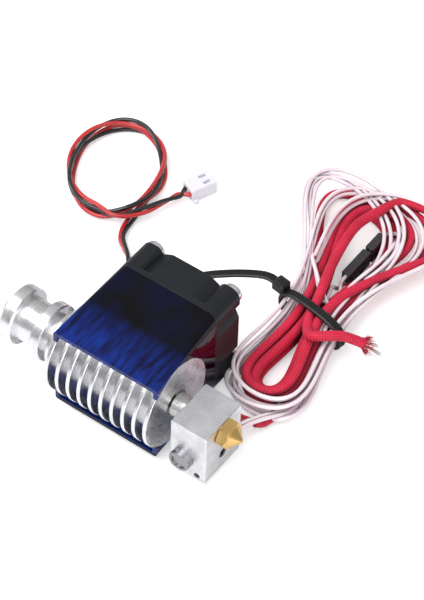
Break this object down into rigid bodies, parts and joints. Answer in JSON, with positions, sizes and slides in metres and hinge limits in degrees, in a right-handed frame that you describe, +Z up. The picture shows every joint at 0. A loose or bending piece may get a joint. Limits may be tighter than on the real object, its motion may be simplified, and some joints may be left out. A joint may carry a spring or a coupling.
{
  "type": "hotend assembly",
  "caption": "Groove-mount extruder hotend with finned sink, threaded heat break, heater block, nozzle, ducted side fan and coiled heater, sensor and fan cables.",
  "frame": {"origin": "centre of the mounting flange's outer face, on the hotend axis", "axes": "+X runs down the hotend axis from the mounting flange to the nozzle tip, +Y points from that axis to the cooling fan, +Z is up from the surface the assembly lies on"},
  "size_m": [0.1114, 0.1116, 0.03],
  "materials": {
    "sink_aluminium": "polished, turned",
    "collet_ring_brass": "turned",
    "collet_plastic": "matte",
    "liner_white": "waxy",
    "break_steel": "turned",
    "block_aluminium": "fine milled",
    "nozzle_brass": "turned",
    "cartridge_steel": "drawn",
    "dark_steel": "black oxide",
    "bead_glass": "smooth",
    "duct_blue": "translucent, smooth",
    "fan_black": "fine texture",
    "bearing_bronze": "sintered",
    "shaft_steel": "ground",
    "magnet_grey": "matte",
    "stator_steel": "stamped",
    "coil_copper": "enamelled",
    "board_green": "solder mask",
    "label_silver": "blank foil",
    "screw_steel": "bright zinc",
    "wire_black": "glossy",
    "wire_red": "glossy",
    "plug_white": "satin nylon",
    "contact_tin": "tinned",
    "sleeve_crimson": "knitted braid",
    "heater_wire_red": "glossy",
    "wire_white": "glossy",
    "connector_grey": "matte",
    "tie_black": "satin nylon"
  },
  "bodies": {
    "hotend": {"heat_sink": "sink_aluminium", "collet_ring": "collet_ring_brass", "ptfe_liner": "liner_white", "heat_break": "break_steel", "heater_block": "block_aluminium", "nozzle": "nozzle_brass", "heater_cartridge": "cartridge_steel", "heater_grub_screw": "dark_steel", "thermistor_bead": "bead_glass", "fan_duct": "duct_blue", "fan_frame": "fan_black", "fan_bearing": "bearing_bronze", "fan_stator": "stator_steel", "fan_coils": "coil_copper", "fan_circuit_board": "board_green", "fan_hub_label": "label_silver", "fan_screws": "screw_steel", "fan_lead_black": "wire_black", "fan_lead_red": "wire_red", "fan_plug_housing": "plug_white", "fan_plug_contacts": "contact_tin", "heater_sleeve": "sleeve_crimson", "heater_lead_ends": "contact_tin", "heater_leads": "heater_wire_red", "thermistor_leads": "wire_white", "thermistor_plug": "connector_grey", "thermistor_mating_plug": "connector_grey", "thermistor_plug_pins": "contact_tin", "cable_tie": "tie_black"},
    "fan_rotor": {"fan_impeller": "fan_black", "fan_magnet_ring": "magnet_grey", "fan_shaft": "shaft_steel", "fan_retaining_ring": "liner_white"},
    "collet": {"collet": "collet_plastic"}
  },
  "joints": [
    {"name": "fan_spin", "type": "hinge", "parent": "hotend", "child": "fan_rotor", "pos_m": [0.03384, 0.0233, 0], "axis": [0, 1, 0], "continuous": true},
    {"name": "collet_release", "type": "slide", "parent": "hotend", "child": "collet", "axis": [1, 0, 0], "range_m": [0, 0.001]}
  ]
}
